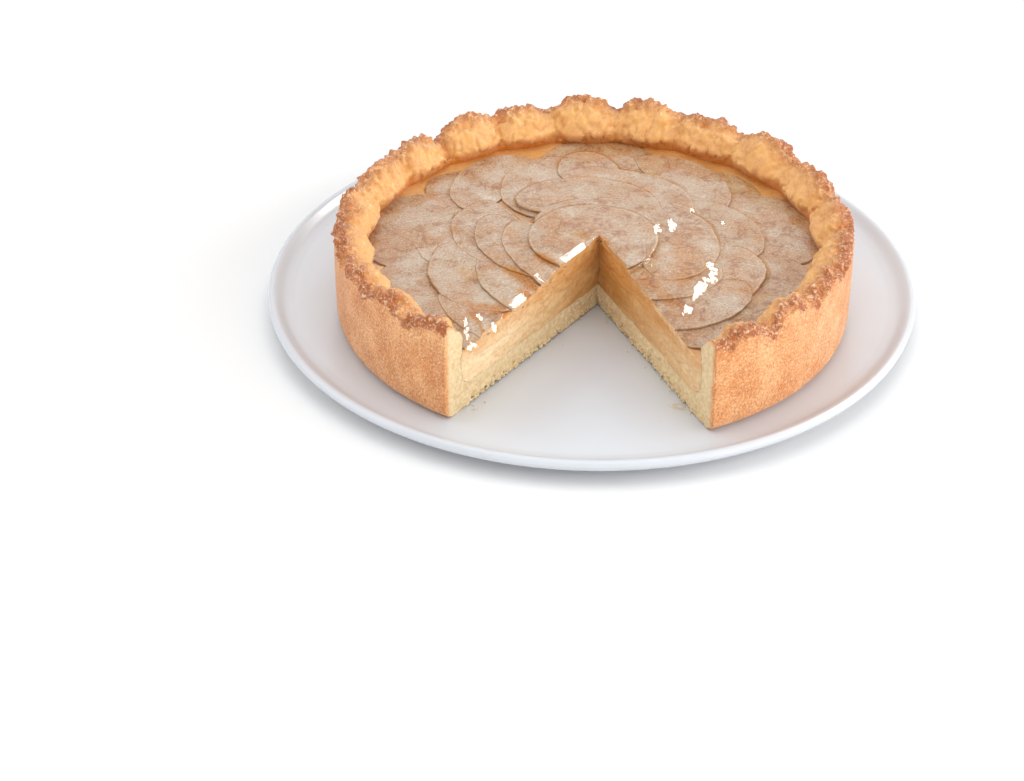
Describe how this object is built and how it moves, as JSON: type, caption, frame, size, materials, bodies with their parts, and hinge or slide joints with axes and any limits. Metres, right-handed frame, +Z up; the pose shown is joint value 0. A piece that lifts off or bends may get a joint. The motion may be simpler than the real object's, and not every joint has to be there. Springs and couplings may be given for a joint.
{
  "type": "apple tart",
  "caption": "Round deep shortcrust tart with fanned, glazed apple slices on an apple filling, one wedge taken out, on a flat white serving plate.",
  "frame": {"origin": "on the table, under the middle of the plate's foot ring", "axes": "+Z up; the missing wedge of the tart opens towards -Y"},
  "size_m": [0.33, 0.33, 0.0643],
  "materials": {
    "porcelain": "white glazed porcelain",
    "shortcrust": "browned, dry and crumbly",
    "apple_filling": "moist cut filling",
    "baked_apple": "baked apple under clear amber jelly"
  },
  "bodies": {
    "root": {"crust": "shortcrust", "filling": "apple_filling", "plate": "porcelain", "slice_centre_disc": "baked_apple", "slice_core_back": "baked_apple", "slice_core_left": "baked_apple", "slice_inner_back": "baked_apple", "slice_inner_back_outer": "baked_apple", "slice_inner_cut_right": "baked_apple", "slice_inner_left": "baked_apple", "slice_inner_left_front": "baked_apple", "slice_inner_right": "baked_apple", "slice_middle_back": "baked_apple", "slice_middle_back_left": "baked_apple", "slice_middle_back_right": "baked_apple", "slice_middle_back_small": "baked_apple", "slice_middle_cut_right": "baked_apple", "slice_middle_left_back": "baked_apple", "slice_middle_left_front": "baked_apple", "slice_middle_left_small": "baked_apple", "slice_middle_right": "baked_apple", "slice_middle_right_back": "baked_apple", "slice_middle_right_front": "baked_apple", "slice_outer_back": "baked_apple", "slice_outer_cut_high": "baked_apple", "slice_outer_cut_low": "baked_apple", "slice_outer_front_right": "baked_apple", "slice_outer_left": "baked_apple", "slice_outer_left_back": "baked_apple", "slice_outer_left_front": "baked_apple", "slice_outer_right": "baked_apple", "slice_outer_right_back": "baked_apple", "slice_outer_right_front": "baked_apple"}
  },
  "joints": []
}
